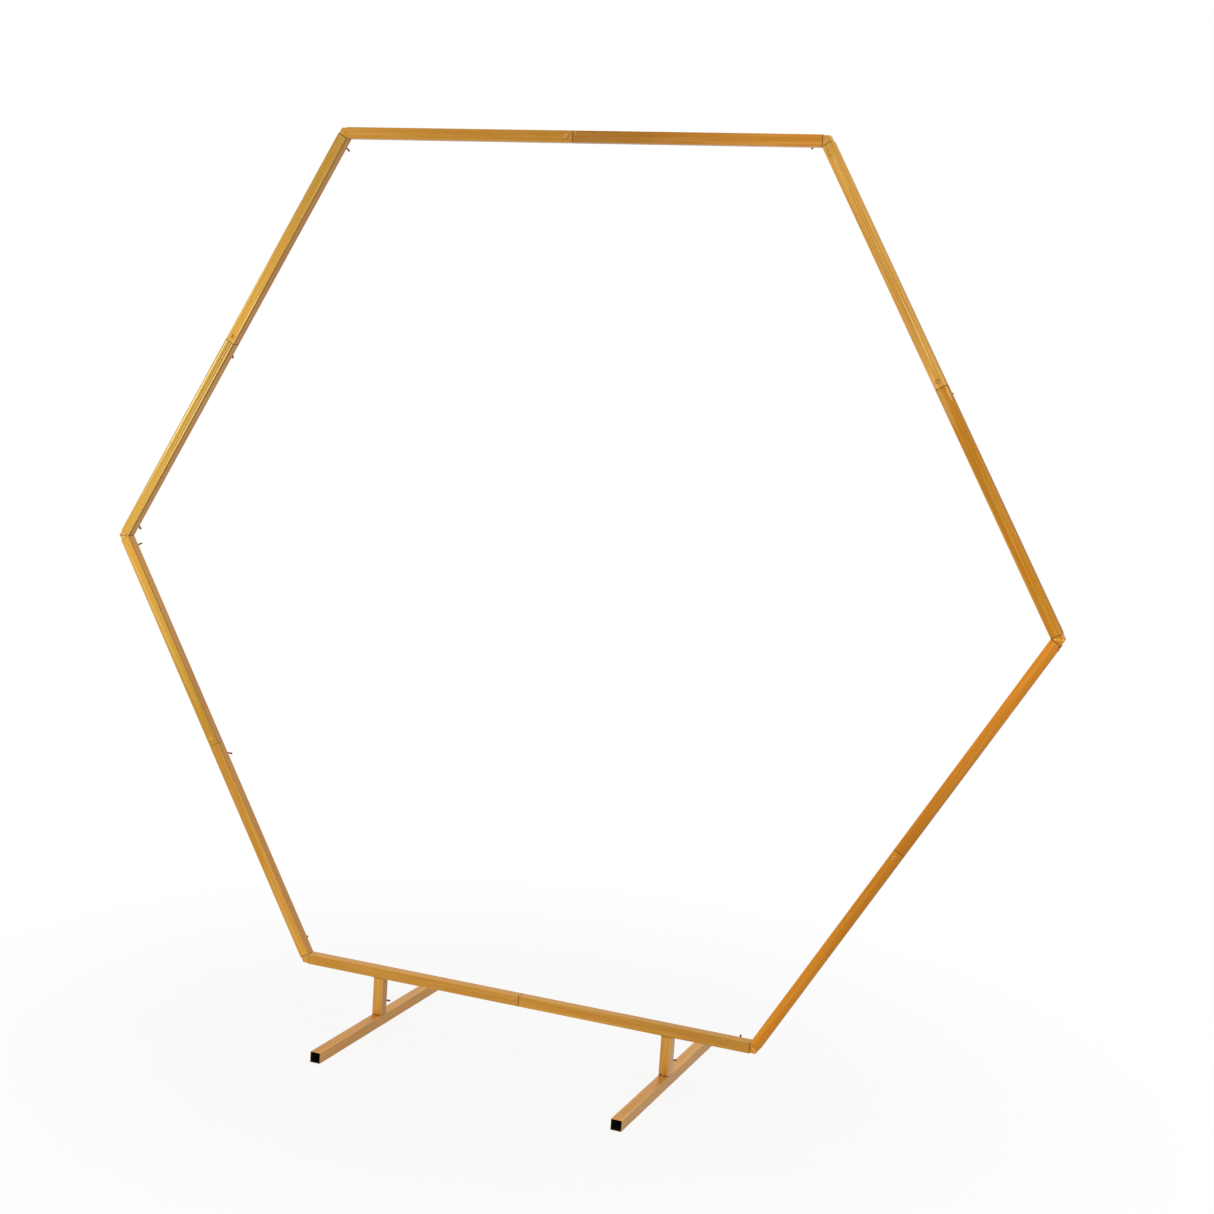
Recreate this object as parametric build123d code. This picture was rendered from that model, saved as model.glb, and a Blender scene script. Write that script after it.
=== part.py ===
import os
from math import atan, cos, degrees, radians, sin, tan

from build123d import *

# Hexagonal knock-down wedding arch in square steel tube, on two inverted-T feet.
# It stands on z = 0 and faces -Y. The frame's middle plane is y = 0, and x = 0 is midway between the feet.
# Half tubes slip over mitred corner elbows and straight sleeves, and wing screws on the back clamp them.

# Square tube of the frame, the legs and the feet. The bore's corners are rounded only on the feet, whose
# open ends show.
tube_width = 25.0
tube_wall = 1.0
tube_edge_radius = 1.5
foot_bore_edge_radius = 0.8

# Smaller square tube that slides inside it
fit_clearance = 0.3
inner_tube_wall = 1.0
inner_tube_edge_radius = 1.3

# Lengths of the frame
half_tube_length = 550.0
seam_gap = 0.9
corner_gap = 0.3
elbow_insertion = 60.0
sleeve_insertion = 60.0

# Plug weld that holds a sleeve in one half of its side, seen in a hole in the front face
plug_setback = 14.0
plug_radius = 3.5
plug_rise = 0.1
plug_clearance = 0.1

# Legs, feet and the spigots that stand on the feet
leg_length = 90.0
leg_spacing = 720.0
leg_foot_gap = 0.6
foot_length = 610.0
spigot_height = 60.0

# Wing screws, which run in nuts welded on the back of the tubes. The many small screws are kept light:
# their round forms have a few flat sides.
corner_screw_setback = 25.0
seam_screw_setback = 27.0
leg_screw_setback = 25.0
screw_sides = 10
screw_radius = 3.0
screw_hole_clearance = 0.3
screw_tip_gap = 0.05
thread_clearance = 0.1
nut_across_flats = 10.0
nut_height = 5.0
head_gap = 1.0
hub_base_radius = 5.2
hub_top_radius = 4.2
hub_height = 7.0
wing_span = 31.0
wing_height = 13.0
wing_thickness = 2.6
wing_tip_radius = 3.8
wing_root_start = 0.5
wing_root_end = 5.5
wing_bend_at = 8.5
wing_bend = 32.0

# Derived sizes
side_count = 6
half_turn = radians(180.0 / side_count)
inner_tube_width = tube_width - 2 * tube_wall - 2 * fit_clearance
inner_side = 2 * half_tube_length + seam_gap + 2 * corner_gap
inner_apothem = inner_side / 2 / tan(half_turn)
axis_apothem = inner_apothem + tube_width / 2
foot_top = tube_width
leg_bottom = foot_top + leg_foot_gap
bottom_tube_underside = leg_bottom + leg_length
frame_centre_height = bottom_tube_underside + tube_width + inner_apothem
back_face = tube_width / 2
sleeve_back_face = inner_tube_width / 2

# Sides clockwise from the top, as seen from the front: name, first half, second half, and the half
# that holds the sleeve
sides = [
    ("top", "left", "right", "left"),
    ("upper_right", "high", "low", "high"),
    ("lower_right", "high", "low", "low"),
    ("bottom", "right", "left", "left"),
    ("lower_left", "low", "high", "high"),
    ("upper_left", "low", "high", "high"),
]
corners = ["top_right", "right", "bottom_right", "bottom_left", "left", "top_left"]

# How far each wing screw is turned, in degrees: from lying along its tube, at the first corner, the seam and
# the second corner, and from lying level on the legs
screw_turns = {
    "top": (25, 10, 100),
    "upper_right": (-20, 35, 10),
    "lower_right": (40, -15, 30),
    "bottom": (45, 5, -30),
    "lower_left": (10, 105, 70),
    "upper_left": (110, -45, 85),
}
leg_screw_turns = {"left": 160, "right": 160}


def tube_section(width, wall, edge_radius, bore_edge_radius=0.0):
    outline = RectangleRounded(width, width, edge_radius)
    bore = width - 2 * wall
    if bore_edge_radius:
        return outline - RectangleRounded(bore, bore, bore_edge_radius)
    return outline - Rectangle(bore, bore)


def frame_tube(plane, length, bore_edge_radius=0.0):
    section = tube_section(tube_width, tube_wall, tube_edge_radius, bore_edge_radius)
    return extrude(plane * section, length)


def inner_tube(plane, length):
    return extrude(plane * tube_section(inner_tube_width, inner_tube_wall, inner_tube_edge_radius), length)


def along_side(x):
    """Section plane across a side at x, in that side's own frame: X along it, Z outward, front -Y."""
    return Plane(origin=(x, 0, axis_apothem), x_dir=(0, 1, 0), z_dir=(1, 0, 0))


def in_frame(side_index, shape):
    """A shape from a side's own frame to its place in the standing arch."""
    return Pos(0, 0, frame_centre_height) * Rot(0, 360.0 / side_count * side_index, 0) * shape


def screw_hole(x, y, z):
    """Cutter for a screw's hole through the wall at depth y, running front to back. The nut hides it."""
    section = RegularPolygon(screw_radius + screw_hole_clearance, screw_sides, major_radius=False)
    return Pos(x, y, z) * Rot(90, 0, 0) * extrude(section, 2 * tube_wall, both=True)


def half_tube(end_sign, holds_sleeve):
    """Half of a side, from its corner at end_sign * X to the seam, with its screw hole or holes."""
    start = seam_gap / 2 if end_sign > 0 else -seam_gap / 2 - half_tube_length
    tube = frame_tube(along_side(start), half_tube_length)
    corner_x = end_sign * (inner_side / 2 - corner_gap - corner_screw_setback)
    tube -= screw_hole(corner_x, back_face - tube_wall / 2, axis_apothem)
    if holds_sleeve:
        plug_x = end_sign * (seam_gap / 2 + plug_setback)
        plug_hole = Cylinder(plug_radius + plug_clearance, 2 * tube_wall)
        tube -= Pos(plug_x, -back_face + tube_wall / 2, axis_apothem) * Rot(90, 0, 0) * plug_hole
    else:
        seam_x = end_sign * (seam_gap / 2 + seam_screw_setback)
        tube -= screw_hole(seam_x, back_face - tube_wall / 2, axis_apothem)
    return tube


def sleeve(plug_sign):
    """Straight sleeve across a seam, with the plug weld that fills the hole in the half that holds it."""
    tube = inner_tube(along_side(-sleeve_insertion), 2 * sleeve_insertion)
    plug_front = -back_face - plug_rise
    plug_length = -plug_front - sleeve_back_face + inner_tube_wall / 2
    plug = Cylinder(plug_radius, plug_length, align=(Align.CENTER, Align.CENTER, Align.MAX))
    plug_x = plug_sign * (seam_gap / 2 + plug_setback)
    return tube + Pos(plug_x, plug_front, axis_apothem) * Rot(90, 0, 0) * plug


def elbow():
    """Mitred and welded corner piece, at the clockwise corner of a side."""
    corner_x = axis_apothem * tan(half_turn)
    arm_start = inner_side / 2 - corner_gap - elbow_insertion
    mitre = Plane(
        origin=(corner_x, 0, axis_apothem),
        x_dir=(0, 1, 0),
        z_dir=(cos(half_turn), 0, -sin(half_turn)),
    )
    arm_length = corner_x - arm_start + inner_tube_width
    arm = split(inner_tube(along_side(arm_start), arm_length), bisect_by=mitre, keep=Keep.BOTTOM)
    return arm + mirror(arm, about=mitre)


def wing():
    """One wing of a screw: a strip that bends sideways part of the way out, cut to a rounded side view."""
    half = wing_thickness / 2
    bend = radians(wing_bend)
    mitre = half * tan(bend / 2)
    tip = Vector(wing_span / 2, (wing_span / 2 - wing_bend_at) * tan(bend))
    across = Vector(-sin(bend), cos(bend)) * half
    left_edge = [(0, half), (wing_bend_at - mitre, half), tip + across]
    right_edge = [tip - across, (wing_bend_at + mitre, -half), (0, -half)]
    plan = make_face(Polyline(*left_edge, *right_edge, close=True))
    tip_end = Pos(wing_span / 2 - wing_tip_radius, wing_height - wing_tip_radius)
    side_view = make_hull(
        (tip_end * RegularPolygon(wing_tip_radius, screw_sides)).edges()
        + [Line((0, wing_root_start), (0, wing_root_end))]
    )
    return extrude(plan, wing_height) & extrude(Plane.XZ * side_view, wing_span, both=True)


def wing_screw():
    """Wing screw with its axis on Z, where z = 0 is the tube's back face. Its tip bears on the inner tube."""
    head_base = nut_height + head_gap
    tip = sleeve_back_face - back_face + screw_tip_gap
    shank = Pos(0, 0, tip) * extrude(RegularPolygon(screw_radius, screw_sides), head_base - tip)
    hub_taper = degrees(atan((hub_base_radius - hub_top_radius) / hub_height))
    hub = extrude(RegularPolygon(hub_base_radius, screw_sides), hub_height, taper=hub_taper)
    head = hub + wing() + Rot(0, 0, 180) * wing()
    return shank + Pos(0, 0, head_base) * head


def nut():
    blank = RegularPolygon(nut_across_flats / 2, 6, major_radius=False)
    bore = RegularPolygon(screw_radius + thread_clearance, screw_sides, major_radius=False)
    return extrude(blank - bore, nut_height)


def clamp(x, z, turn):
    """A nut on the back face at x, z, and the wing screw in it."""
    place = Pos(x, back_face, z) * Rot(-90, 0, 0)
    return [place * nut(), place * Rot(0, 0, turn) * wing_screw()]


def side_clamps(side_index):
    name, first, second, holder = sides[side_index]
    corner_x = inner_side / 2 - corner_gap - corner_screw_setback
    seam_x = seam_gap / 2 + seam_screw_setback
    if holder == second:
        seam_x = -seam_x
    pieces = []
    for x, turn in zip((-corner_x, seam_x, corner_x), screw_turns[name]):
        pieces += clamp(x, axis_apothem, turn)
    return Compound([in_frame(side_index, piece) for piece in pieces])


def leg(x):
    tube = frame_tube(Plane.XY.offset(leg_bottom), leg_length)
    tube -= screw_hole(0, back_face - tube_wall / 2, leg_bottom + leg_screw_setback)
    return Pos(x, 0, 0) * tube


def spigot(x):
    return Pos(x, 0, 0) * inner_tube(Plane.XY.offset(foot_top), spigot_height)


def foot(x):
    plane = Plane(origin=(x, -foot_length / 2, tube_width / 2), x_dir=(1, 0, 0), z_dir=(0, 1, 0))
    return frame_tube(plane, foot_length, foot_bore_edge_radius)


def leg_clamps():
    screw_z = leg_bottom + leg_screw_setback
    pieces = []
    for name, x in leg_places.items():
        pieces += clamp(x, screw_z, leg_screw_turns[name])
    return Compound(pieces)


leg_places = {"left": -leg_spacing / 2, "right": leg_spacing / 2}

parts = {}
for index, (side, first, second, holder) in enumerate(sides):
    parts[f"{side}_tube_{first}"] = in_frame(index, half_tube(-1, holder == first))
    parts[f"{side}_tube_{second}"] = in_frame(index, half_tube(1, holder == second))
    parts[f"{side}_sleeve"] = in_frame(index, sleeve(-1 if holder == first else 1))
    parts[f"{corners[index]}_elbow"] = in_frame(index, elbow())
    parts[f"{side}_wing_screws"] = side_clamps(index)
for name, x in leg_places.items():
    parts[f"{name}_leg"] = leg(x)
    parts[f"{name}_spigot"] = spigot(x)
    parts[f"{name}_foot"] = foot(x)
parts["leg_wing_screws"] = leg_clamps()

os.makedirs("parts", exist_ok=True)
for name, shape in parts.items():
    export_step(shape, f"parts/{name}.step")
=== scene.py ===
import math
import random

import bpy
from mathutils import Matrix, Vector


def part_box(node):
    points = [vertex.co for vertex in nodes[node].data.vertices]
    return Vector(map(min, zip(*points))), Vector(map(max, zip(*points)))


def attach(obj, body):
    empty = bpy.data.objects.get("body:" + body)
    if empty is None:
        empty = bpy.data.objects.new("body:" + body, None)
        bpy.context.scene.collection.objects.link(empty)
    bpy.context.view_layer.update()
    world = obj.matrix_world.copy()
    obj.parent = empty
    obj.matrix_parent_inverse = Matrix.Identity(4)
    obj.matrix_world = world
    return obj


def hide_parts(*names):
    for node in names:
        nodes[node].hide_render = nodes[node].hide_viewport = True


# Hexagonal wedding arch: gold-painted square tubes that slip over elbows and sleeves, clamped from behind by
# wing screws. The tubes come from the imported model. This script adds their finish and the small metalwork.

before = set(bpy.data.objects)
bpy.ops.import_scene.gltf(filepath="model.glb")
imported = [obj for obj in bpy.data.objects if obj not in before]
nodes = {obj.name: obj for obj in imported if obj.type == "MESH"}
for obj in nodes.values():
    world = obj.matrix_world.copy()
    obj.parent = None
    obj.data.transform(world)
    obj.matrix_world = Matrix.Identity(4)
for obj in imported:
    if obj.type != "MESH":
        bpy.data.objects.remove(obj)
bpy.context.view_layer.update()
scene = bpy.context.scene
print("frame loaded:", len(nodes), "nodes")

# layout of the hexagon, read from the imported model

bottomLow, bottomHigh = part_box("bottom_tube_left")
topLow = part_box("top_tube_left")[0]
mitreTurn = math.radians(30)  # half of the turn at a corner
tubeWidth = bottomHigh.z - bottomLow.z
tubeHalf = tubeWidth / 2
elbowHalf = 0.0112  # half the width of the inner tube, of which elbows and sleeves are made
centreZ = (bottomHigh.z + topLow.z) / 2
axisApothem = (topLow.z - bottomHigh.z) / 2 + tubeHalf
elbowMiddle = axisApothem / math.cos(mitreTurn)
# from the middle of a side to the start and the end of a half tube, and to its plug weld
seamEdge, tubeEnd = (corner.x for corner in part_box("top_tube_right"))
plugSetback = seamEdge + 0.014

# sides clockwise from the top: name, first half, second half, and the half that holds the sleeve
sides = [
    ("top", "left", "right", "left"),
    ("upper_right", "high", "low", "high"),
    ("lower_right", "high", "low", "low"),
    ("bottom", "right", "left", "left"),
    ("lower_left", "low", "high", "high"),
    ("upper_left", "low", "high", "high"),
]
corners = ["top_right", "right", "bottom_right", "bottom_left", "left", "top_left"]

legBottom, legTop = (corner.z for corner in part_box("left_leg"))
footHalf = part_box("left_foot")[1].y
legX = {side: (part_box(f"{side}_leg")[0].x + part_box(f"{side}_leg")[1].x) / 2 for side in ("left", "right")}

worldPlace = Matrix.Identity(4)


def turned(degrees, axis):
    return Matrix.Rotation(math.radians(degrees), 4, axis)


def moved(x, y, z):
    return Matrix.Translation((x, y, z))


def sidePlace(index):
    # a side's own frame: X along it clockwise, Y to the back, Z outward from the middle of the hexagon
    return moved(0, 0, centreZ) @ turned(60 * index, "Y")


def cornerPlace(index):
    # the frame of the elbow at a side's clockwise corner: Z outward through the mitre, Y to the back
    outward = moved(0, 0, elbowMiddle)
    return moved(0, 0, centreZ) @ turned(60 * index + 30, "Y") @ outward


def plugAlong(index):
    # where a side's plug weld is, along the side from its middle
    _, first, _, holder = sides[index]
    return -plugSetback if holder == first else plugSetback


# the camera, at the angle of the photograph

cameraSetup = {
    "azimuth": 23.29,  # degrees
    "elevation": 8.24,
    "roll": 3.48,
    "sensorWidth": 36.0,  # millimetres
    "focalPixels": 1991.8,  # for a frame 1214 pixels wide
    "framePixels": 1214,
    "axisPixel": (516.0, 630.0),  # where the optical axis meets the frame, which is cut from a wider one
    "place": (1.6818, -4.0632, 0.5249),  # from the middle of the hexagon, metres
}


def makeCamera():
    lensData = bpy.data.cameras.new("studioCamera")
    lensData.sensor_width = cameraSetup["sensorWidth"]
    lensData.lens = lensData.sensor_width * cameraSetup["focalPixels"] / cameraSetup["framePixels"]
    axisX, axisY = cameraSetup["axisPixel"]
    lensData.shift_x = 0.5 - axisX / cameraSetup["framePixels"]
    lensData.shift_y = axisY / cameraSetup["framePixels"] - 0.5
    camera = bpy.data.objects.new("studioCamera", lensData)
    scene.collection.objects.link(camera)
    aim = turned(cameraSetup["azimuth"], "Z") @ turned(90 - cameraSetup["elevation"], "X")
    place = Vector(cameraSetup["place"]) + Vector((0, 0, centreZ))
    camera.matrix_world = Matrix.Translation(place) @ aim @ turned(cameraSetup["roll"], "Z")
    scene.camera = camera


makeCamera()
print("camera set")

# floor, background and soft lamps

studio = {
    "floorSize": 60.0,
    "floorSurface": {"Base Color": (0.95, 0.95, 0.95, 1.0), "Roughness": 0.9, "Specular IOR Level": 0.1},
    "shadowShare": 0.15,  # how much of the lit floor shows close to the feet
    "fadeFrom": 0.5,  # metres from the middle, where the floor turns into the background
    "fadeTo": 1.7,
    "skyLight": 0.35,
    "white": (1.0, 1.0, 1.0, 1.0),
}
lamps = {
    # name: place, what it points at, width, height, watts
    "keySoftbox": ((-3.4, -3.4, 1.35), (-0.5, 0.0, 1.0), 1.6, 2.2, 27.0),
    "frontFill": ((2.6, -4.6, 2.2), (0.3, 0.0, 1.0), 2.4, 2.0, 60.0),
    "backFill": ((0.8, 3.0, 4.6), (0.0, 0.0, 1.0), 2.5, 2.0, 45.0),
    "topFill": ((0.9, -0.3, 5.0), (0.0, 0.0, 1.0), 2.5, 2.5, 42.0),
}


def deselectAll():
    bpy.ops.object.select_all(action="DESELECT")


def setInputs(node, settings):
    for socket, value in settings.items():
        node.inputs[socket].default_value = value


def mathNode(tree, operation, first, second=None, third=None, clamp=False):
    # a Math node whose inputs are sockets or plain numbers
    node = tree.nodes.new("ShaderNodeMath")
    node.operation = operation
    node.use_clamp = clamp
    for socket, value in zip(node.inputs, (first, second, third)):
        if value is None:
            continue
        if isinstance(value, (int, float)):
            socket.default_value = value
        else:
            tree.links.new(value, socket)
    return node.outputs[0]


def times(tree, first, second):
    return mathNode(tree, "MULTIPLY", first, second)


def eitherWay(tree, value):
    return mathNode(tree, "ABSOLUTE", value)


def rampNode(tree, value, low, high, fromValue=0.0, toValue=1.0):
    # a smooth step of value from low to high
    node = tree.nodes.new("ShaderNodeMapRange")
    node.interpolation_type = "SMOOTHSTEP"
    tree.links.new(value, node.inputs["Value"])
    setInputs(node, {"From Min": low, "From Max": high, "To Min": fromValue, "To Max": toValue})
    return node.outputs["Result"]


def seenDirectly(tree):
    # 1 for rays from the camera, off metal and through glass, and 0 for the light that falls on things
    path = tree.nodes.new("ShaderNodeLightPath")
    total = mathNode(tree, "ADD", path.outputs["Is Camera Ray"], path.outputs["Is Glossy Ray"])
    return mathNode(tree, "ADD", total, path.outputs["Is Transmission Ray"], clamp=True)


def mixShaders(tree, share, first, second, output):
    mix = tree.nodes.new("ShaderNodeMixShader")
    tree.links.new(share, mix.inputs["Fac"])
    tree.links.new(first.outputs[0], mix.inputs[1])
    tree.links.new(second.outputs[0], mix.inputs[2])
    tree.links.new(mix.outputs[0], tree.nodes[output].inputs["Surface"])


def makeFloor():
    deselectAll()
    bpy.ops.mesh.primitive_plane_add(size=studio["floorSize"], location=(0, 0, 0))
    floor = bpy.context.object
    floor.name = "studioFloor"
    material = bpy.data.materials.new("paleFloor")
    material.use_nodes = True
    tree = material.node_tree
    surface = tree.nodes["Principled BSDF"]
    setInputs(surface, studio["floorSurface"])
    glow = tree.nodes.new("ShaderNodeEmission")
    glow.inputs["Color"].default_value = studio["white"]
    coordinates = tree.nodes.new("ShaderNodeTexCoord")
    distance = tree.nodes.new("ShaderNodeVectorMath")
    distance.operation = "LENGTH"
    tree.links.new(coordinates.outputs["Object"], distance.inputs[0])
    fade = rampNode(tree, distance.outputs["Value"], studio["fadeFrom"], studio["fadeTo"],
                    1 - studio["shadowShare"], 1.0)
    share = times(tree, fade, seenDirectly(tree))
    mixShaders(tree, share, surface, glow, "Material Output")
    floor.data.materials.append(material)


def makeSky():
    world = bpy.data.worlds.new("studioSky")
    world.use_nodes = True
    scene.world = world
    tree = world.node_tree
    light = tree.nodes["Background"]
    setInputs(light, {"Color": studio["white"], "Strength": studio["skyLight"]})
    backdrop = tree.nodes.new("ShaderNodeBackground")
    backdrop.inputs["Color"].default_value = studio["white"]
    mixShaders(tree, seenDirectly(tree), light, backdrop, "World Output")


def makeLamps():
    for name, (place, target, width, height, watts) in lamps.items():
        lampData = bpy.data.lights.new(name, "AREA")
        lampData.shape = "RECTANGLE"
        lampData.size = width
        lampData.size_y = height
        lampData.energy = watts
        lamp = bpy.data.objects.new(name, lampData)
        scene.collection.objects.link(lamp)
        lamp.location = place
        lamp.rotation_mode = "QUATERNION"
        lamp.rotation_quaternion = (Vector(target) - Vector(place)).to_track_quat("-Z", "Y")


makeFloor()
makeSky()
makeLamps()
scene.view_settings.view_transform = "Standard"
print("studio ready")

# gold paint of the tubes, with distances in metres from a tube's axis

goldPaint = {
    # the same all over, by the shader's own names
    "surface": {
        "Metallic": 0.4,
        "Coat Weight": 0.12,
        "Coat Roughness": 0.22,
        "Specular IOR Level": 0.12,
        "Specular Tint": (0.95, 0.84, 0.66, 1.0),
    },
    "colour": (0.55, 0.228, 0.018),
    "paleColour": (0.68, 0.335, 0.045),
    "roughness": (0.30, 0.42),  # between streaks and on them
    # scale of each noise along a tube and across it, per metre, and its share in the tone
    "streakScale": (4.0, 210.0, 210.0),
    "brushScale": (10.0, 900.0, 900.0),
    "patchScale": (6.0, 30.0, 30.0),
    "grainScale": (1600.0, 1600.0, 1600.0),
    "streakShare": 0.6,
    "brushShare": 0.15,
    "patchShare": 0.22,
    "grainShare": 0.03,
    "toneRange": (0.1333, 0.8667),
    "streakRange": (0.3, 0.7),
    "streakBump": 0.00004,
    # painted highlight lines and painted shade lines along the streaks, where a look asks for them
    "highlightLines": (0.52, 0.62),
    "shadeLines": (0.36, 0.47),
    "shadeLineShare": 0.8,
    "highlightLineColour": (0.86, 0.60, 0.22),
    "shadeLineColour": (0.34, 0.14, 0.012),
    # painted highlight along the rounded edges of a tube, uneven along the streaks
    "edgeBand": (0.0104, 0.0120),
    "edgeHighlightColour": (0.74, 0.42, 0.10),
    "edgeShare": 0.35,
    "edgeHighlightRange": (0.5, 1.0),
    # where the outer or the back face starts, the inner face, its strip of painted shade next to the front,
    # and the front face
    "outerFace": (0.0114, 0.0122),
    "innerFace": (-0.0121, -0.0116),
    "innerStrip": (-0.0104, -0.0080),
    "frontFace": (-0.0120, -0.0115),
    "outerGloss": 0.1,  # of the outer faces with painted shade, against the other faces
    "boreEdge": (0.0116, 0.0118),
    "boreColour": (0.018, 0.018, 0.014),
    "openEnd": (0.0003, 0.0001),  # from a cut end, where the wall's paint starts
}
plainLook = {
    "value": 1.0,  # painted light and shade of the piece: one number, or a pair for the two ends
    "hue": 0.5,
    "saturation": 1.0,
    "shine": 0.1,  # strength of the painted highlight and shade lines
    "edges": 1.0,  # strength of the painted highlight along the edges
    "cut": 0.6,  # of the dark line at a tube's ends
    "gap": 1.0,  # of the dark line on a sleeve, in the gap of its seam
    "across": None,  # painted light and shade across the piece: value at the outer edge and at the inner edge
    "acrossFrom": -tubeHalf,  # where that change starts
    "outer": None,  # painted shade on the outer face: its value
    "inner": None,  # painted shade on the inner face: its value next to the front, and behind
    "innerHue": 0.5,
    "innerSaturation": 0.92,
    "openEnds": False,  # whether the wall shows its paint at the cut ends
    "seed": 0,
}
# painted light and shade: each piece's value, hue and saturation, and their change along it, stand for the
# light and reflection that fall on it
tubeLooks = {
    "top_tube_left": {"value": (0.92, 0.85), "hue": 0.499, "shine": 0.12, "cut": 0.3, "seed": 1},
    "top_tube_right": {"value": (0.66, 1.06), "hue": 0.491, "saturation": 1.01, "shine": 0.12, "cut": 0.3,
                       "seed": 2},
    "upper_right_tube_high": {"value": (1.22, 1.19), "hue": 0.504, "saturation": 0.96, "shine": 0.3,
                              "outer": 0.92, "seed": 3},
    "upper_right_tube_low": {"value": (0.92, 0.98), "hue": 0.493, "saturation": 1.03, "shine": 0.15,
                             "outer": 0.95, "seed": 4},
    "lower_right_tube_high": {"value": (1.22, 0.98), "hue": 0.486, "saturation": 1.03, "shine": 0.05,
                              "cut": 0.3, "across": (0.83, 1.08), "outer": 0.85, "seed": 5},
    "lower_right_tube_low": {"value": (1.0, 1.20), "hue": 0.488, "saturation": 1.03, "shine": 0.05,
                             "cut": 0.3, "across": (0.83, 1.08), "outer": 0.85, "seed": 6},
    "bottom_tube_right": {"value": (0.91, 1.05), "saturation": 0.99, "across": (1.04, 0.95), "seed": 7},
    "bottom_tube_left": {"value": (1.05, 1.08), "saturation": 0.985, "seed": 8},
    "lower_left_tube_low": {"value": (1.22, 0.98), "hue": 0.501, "cut": 0.2, "inner": (0.72, 0.82),
                            "innerHue": 0.495, "seed": 9},
    "lower_left_tube_high": {"value": (0.94, 0.97), "hue": 0.511, "shine": 0.12, "edges": 0.8, "cut": 0.2,
                             "inner": (0.48, 0.80), "innerHue": 0.495, "seed": 10},
    "upper_left_tube_low": {"value": (0.90, 0.74), "hue": 0.515, "saturation": 0.98, "shine": 0.2,
                            "edges": 0.3, "inner": (0.36, 0.83), "innerHue": 0.494, "seed": 11},
    "upper_left_tube_high": {"value": (0.96, 0.79), "hue": 0.512, "saturation": 0.985, "shine": 0.25,
                             "edges": 0.3, "inner": (0.36, 0.80), "innerHue": 0.494, "seed": 12},
    "left_leg": {"value": 1.18, "hue": 0.503, "saturation": 0.96, "inner": (0.74, 0.74), "innerHue": 0.496,
                 "seed": 13},
    "right_leg": {"value": 1.07, "saturation": 0.97, "inner": (0.92, 0.92), "innerSaturation": 0.80,
                  "seed": 14},
    # painted light: the feet are painted lighter on their top face
    "left_foot": {"value": 0.93, "hue": 0.499, "saturation": 0.93, "cut": 0.0, "across": (1.17, 0.905),
                  "acrossFrom": 0.0105, "openEnds": True, "seed": 15},
    "right_foot": {"value": 0.945, "saturation": 0.93, "cut": 0.0, "across": (1.18, 0.90),
                   "acrossFrom": 0.0105, "openEnds": True, "seed": 16},
}
# painted light and shade of each elbow, as for the tubes
elbowLooks = {
    "top_right": {"value": 0.99, "hue": 0.501, "saturation": 0.96, "seed": 23},
    "right": {"value": 1.01, "hue": 0.492, "saturation": 1.04, "seed": 24},
    "bottom_right": {"value": 1.04, "hue": 0.494, "seed": 25},
    "bottom_left": {"value": 1.15, "hue": 0.504, "saturation": 0.95, "seed": 26},
    "left": {"value": 1.04, "hue": 0.512, "saturation": 0.95, "seed": 27},
    "top_left": {"value": 0.96, "hue": 0.509, "saturation": 0.98, "seed": 28},
}
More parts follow.
